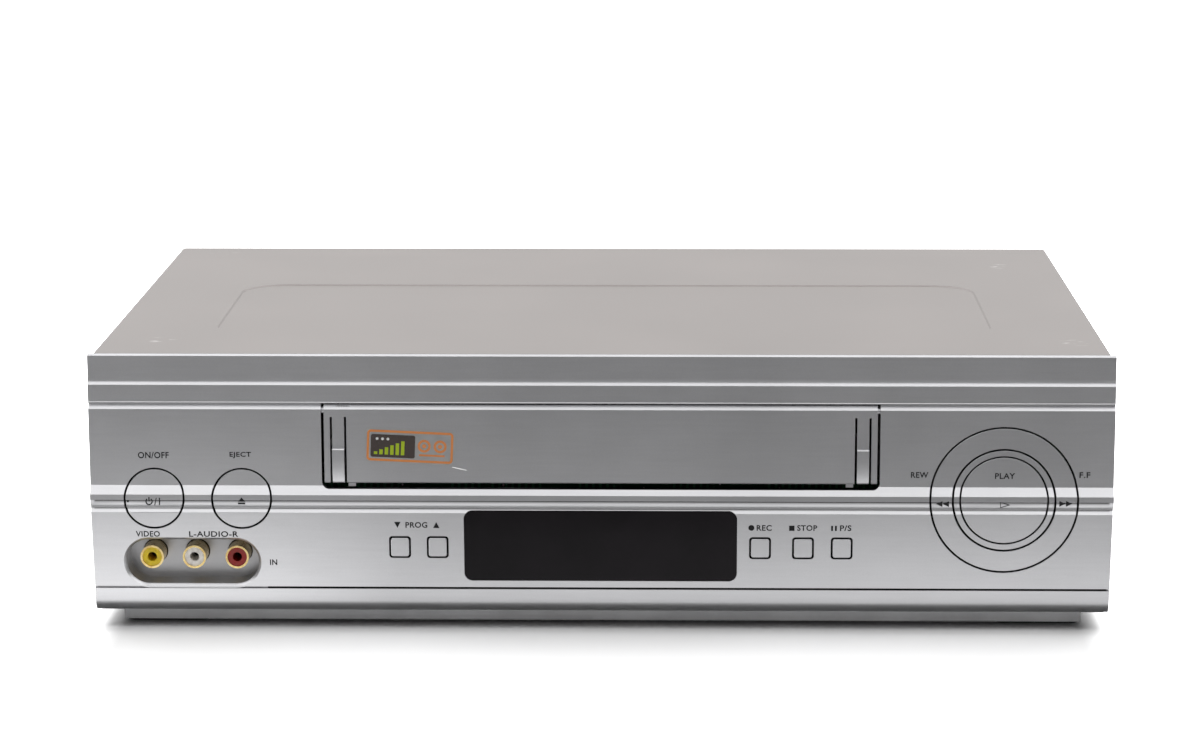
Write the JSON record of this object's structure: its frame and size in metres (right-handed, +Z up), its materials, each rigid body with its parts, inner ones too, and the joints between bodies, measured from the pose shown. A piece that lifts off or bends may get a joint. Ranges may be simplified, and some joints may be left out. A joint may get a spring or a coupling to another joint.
{
  "type": "video cassette recorder",
  "caption": "Silver front loading video cassette recorder with flap door, ringed play control, front sockets and a working tape deck inside.",
  "frame": {"origin": "centre of the footprint, on the surface that the feet rest on", "axes": "+X to the viewer's right, +Y to the back, +Z up"},
  "size_m": [0.36, 0.238, 0.099],
  "materials": {
    "panel_silver": "silver paint on moulded plastic, satin",
    "button_silver": "silver paint on moulded plastic, satin",
    "trim_bright": "bright silver paint",
    "cover_grey": "fine grained grey paint on steel",
    "window_smoke": "polished dark smoke plastic",
    "jack_gold": "gold plated",
    "jack_insulator": "coloured insulators, one yellow, one white, one red, on black bodies",
    "chassis_plastic": "grey moulded plastic",
    "zinc_steel": "zinc plated steel",
    "rear_grey": "grey painted steel",
    "foot_rubber": "matt black rubber",
    "screw_steel": "blackened steel",
    "spring_steel": "spring wire",
    "board_green": "green laminate with solder mask",
    "black_plastic": "black moulded plastic",
    "tube_glass": "display glass",
    "ribbon_white": "white flat cable",
    "tinned_can": "tinned sheet",
    "socket_plate": "nickel plated",
    "sound_socket": "black body, plated barrels",
    "transformer_iron": "varnished laminations and yellow tape",
    "can_sleeve": "printed sleeve, bare top",
    "sink_aluminium": "mill finish",
    "drum_aluminium": "turned and polished",
    "turned_steel": "turned steel",
    "belt_rubber": "rubber",
    "gear_white": "white moulded plastic",
    "reel_black": "black moulded plastic",
    "head_metal": "polished head face"
  },
  "bodies": {
    "casing": {"front_panel": "panel_silver", "ring_trim": "trim_bright", "top_cover": "cover_grey", "display_window": "window_smoke", "front_jack_shells": "jack_gold", "jack_inserts": "jack_insulator", "chassis_frame": "chassis_plastic", "bottom_cover": "zinc_steel", "deck_plate": "zinc_steel", "carriage_brackets": "zinc_steel", "rear_panel": "rear_grey", "rubber_feet": "foot_rubber", "screws": "screw_steel", "door_spring": "spring_steel", "main_board": "board_green", "front_board": "board_green", "mains_inlet": "black_plastic", "scart_sockets": "black_plastic", "tact_switches": "black_plastic", "display_tube": "tube_glass", "ribbon_cable": "ribbon_white", "tuner_can": "tinned_can", "rf_sockets": "socket_plate", "rear_audio_jacks": "sound_socket", "power_transformer": "transformer_iron", "capacitors": "can_sleeve", "heat_sink": "sink_aluminium", "lower_drum": "drum_aluminium", "drum_base": "drum_aluminium", "capstan_motor": "turned_steel", "loading_motor": "turned_steel", "drive_belt": "belt_rubber", "audio_head": "head_metal", "erase_head": "head_metal"},
    "door": {"cassette_door": "panel_silver"},
    "shuttle_ring": {"shuttle_ring": "button_silver"},
    "slider": {"carriage_slider": "zinc_steel"},
    "carriage": {"cassette_carriage": "zinc_steel"},
    "cam": {"cam_gear": "gear_white"},
    "pinion": {"motor_pinion": "gear_white"},
    "supply_guide": {"supply_guide": "gear_white"},
    "take_up_guide": {"take_up_guide": "gear_white"},
    "pinch_arm": {"pinch_arm": "zinc_steel"},
    "pinch_roller": {"pinch_roller": "belt_rubber"},
    "upper_drum": {"upper_drum": "drum_aluminium"},
    "capstan": {"capstan_flywheel": "turned_steel"},
    "clutch": {"clutch_pulley": "gear_white"},
    "idler_arm": {"idler_arm": "zinc_steel"},
    "idler_wheel": {"idler_wheel": "belt_rubber"},
    "supply_reel": {"supply_reel_table": "reel_black"},
    "take_up_reel": {"take_up_reel_table": "reel_black"},
    "tension_arm": {"tension_arm": "zinc_steel"},
    "standby_button": {"standby_button": "button_silver"},
    "eject_button": {"eject_button": "button_silver"},
    "play_button": {"play_button": "button_silver"},
    "program_down_button": {"program_down_button": "button_silver"},
    "program_up_button": {"program_up_button": "button_silver"},
    "record_button": {"record_button": "button_silver"},
    "stop_button": {"stop_button": "button_silver"},
    "pause_button": {"pause_button": "button_silver"}
  },
  "joints": [
    {"name": "door_hinge", "type": "hinge", "parent": "casing", "child": "door", "pos_m": [0, -0.1138, 0.079], "axis": [-1, 0, 0], "range_deg": [-90, 0], "stiffness_Nm_per_rad": 0.003, "springref_deg": 34.38},
    {"name": "standby_press", "type": "slide", "parent": "casing", "child": "standby_button", "axis": [0, 1, 0], "range_m": [0, 0.001], "stiffness_N_per_m": 600, "springref_m": -0.001},
    {"name": "eject_press", "type": "slide", "parent": "casing", "child": "eject_button", "axis": [0, 1, 0], "range_m": [0, 0.001], "stiffness_N_per_m": 600, "springref_m": -0.001},
    {"name": "play_press", "type": "slide", "parent": "casing", "child": "play_button", "axis": [0, 1, 0], "range_m": [0, 0.001], "stiffness_N_per_m": 600, "springref_m": -0.001},
    {"name": "program_down_press", "type": "slide", "parent": "casing", "child": "program_down_button", "axis": [0, 1, 0], "range_m": [0, 0.001], "stiffness_N_per_m": 600, "springref_m": -0.001},
    {"name": "program_up_press", "type": "slide", "parent": "casing", "child": "program_up_button", "axis": [0, 1, 0], "range_m": [0, 0.001], "stiffness_N_per_m": 600, "springref_m": -0.001},
    {"name": "record_press", "type": "slide", "parent": "casing", "child": "record_button", "axis": [0, 1, 0], "range_m": [0, 0.001], "stiffness_N_per_m": 600, "springref_m": -0.001},
    {"name": "stop_press", "type": "slide", "parent": "casing", "child": "stop_button", "axis": [0, 1, 0], "range_m": [0, 0.001], "stiffness_N_per_m": 600, "springref_m": -0.001},
    {"name": "pause_press", "type": "slide", "parent": "casing", "child": "pause_button", "axis": [0, 1, 0], "range_m": [0, 0.001], "stiffness_N_per_m": 600, "springref_m": -0.001},
    {"name": "shuttle_rock", "type": "hinge", "parent": "casing", "child": "shuttle_ring", "pos_m": [0.1416, -0.1123, 0.0477], "axis": [0, 0, 1], "range_deg": [-2.5, 2.5], "stiffness_Nm_per_rad": 0.6},
    {"name": "carriage_feed", "type": "slide", "parent": "casing", "child": "slider", "axis": [0, 1, 0], "range_m": [-0.06, 0]},
    {"name": "carriage_lower", "type": "slide", "parent": "slider", "child": "carriage", "axis": [0, 0, -1], "range_m": [0, 0.022]},
    {"name": "cam_turn", "type": "hinge", "parent": "casing", "child": "cam", "pos_m": [-0.0864, 0.0112, 0.024], "axis": [0, 0, 1], "range_deg": [0, 150]},
    {"name": "pinion_turn", "type": "hinge", "parent": "casing", "child": "pinion", "pos_m": [-0.1152, 0.0112, 0.024], "axis": [0, 0, 1], "range_deg": [-750, 0]},
    {"name": "supply_guide_run", "type": "hinge", "parent": "casing", "child": "supply_guide", "pos_m": [0, 0.0612, 0.024], "axis": [0, 0, 1], "range_deg": [-95, 0]},
    {"name": "take_up_guide_run", "type": "hinge", "parent": "casing", "child": "take_up_guide", "pos_m": [0, 0.0612, 0.024], "axis": [0, 0, 1], "range_deg": [0, 95]},
    {"name": "pinch_swing", "type": "hinge", "parent": "casing", "child": "pinch_arm", "pos_m": [0.086, 0.0552, 0.03], "axis": [0, 0, 1], "range_deg": [0, 25]},
    {"name": "pinch_roller_spin", "type": "hinge", "parent": "pinch_arm", "child": "pinch_roller", "pos_m": [0.05936, 0.04982, 0.04], "axis": [0, 0, 1], "continuous": true},
    {"name": "drum_spin", "type": "hinge", "parent": "casing", "child": "upper_drum", "pos_m": [0, 0.0612, 0.0285], "axis": [0, -0.0872, 0.9962], "continuous": true},
    {"name": "capstan_spin", "type": "hinge", "parent": "casing", "child": "capstan", "pos_m": [0.07, 0.0332, 0.02], "axis": [0, 0, 1], "continuous": true},
    {"name": "clutch_spin", "type": "hinge", "parent": "casing", "child": "clutch", "pos_m": [0, -0.0128, 0.02], "axis": [0, 0, 1], "continuous": true},
    {"name": "idler_swing", "type": "hinge", "parent": "casing", "child": "idler_arm", "pos_m": [0, -0.0128, 0.028], "axis": [0, 0, 1], "range_deg": [-34, 34]},
    {"name": "idler_spin", "type": "hinge", "parent": "idler_arm", "child": "idler_wheel", "pos_m": [0, -0.036, 0.026], "axis": [0, 0, 1], "continuous": true},
    {"name": "supply_reel_spin", "type": "hinge", "parent": "casing", "child": "supply_reel", "pos_m": [-0.04625, -0.0308, 0.026], "axis": [0, 0, 1], "continuous": true},
    {"name": "take_up_reel_spin", "type": "hinge", "parent": "casing", "child": "take_up_reel", "pos_m": [0.04625, -0.0308, 0.026], "axis": [0, 0, 1], "continuous": true},
    {"name": "tension_swing", "type": "hinge", "parent": "casing", "child": "tension_arm", "pos_m": [-0.09, 0.0432, 0.028], "axis": [0, 0, 1], "range_deg": [-10, 10], "stiffness_Nm_per_rad": 0.02}
  ],
  "couplings": [
    {"joint": "pinion_turn", "follows": "cam_turn", "ratio": -5},
    {"joint": "supply_guide_run", "follows": "cam_turn", "ratio": -0.63333},
    {"joint": "take_up_guide_run", "follows": "cam_turn", "ratio": 0.63333},
    {"joint": "pinch_swing", "follows": "cam_turn", "ratio": 0.16667},
    {"joint": "clutch_spin", "follows": "capstan_spin", "ratio": 0.64286}
  ]
}
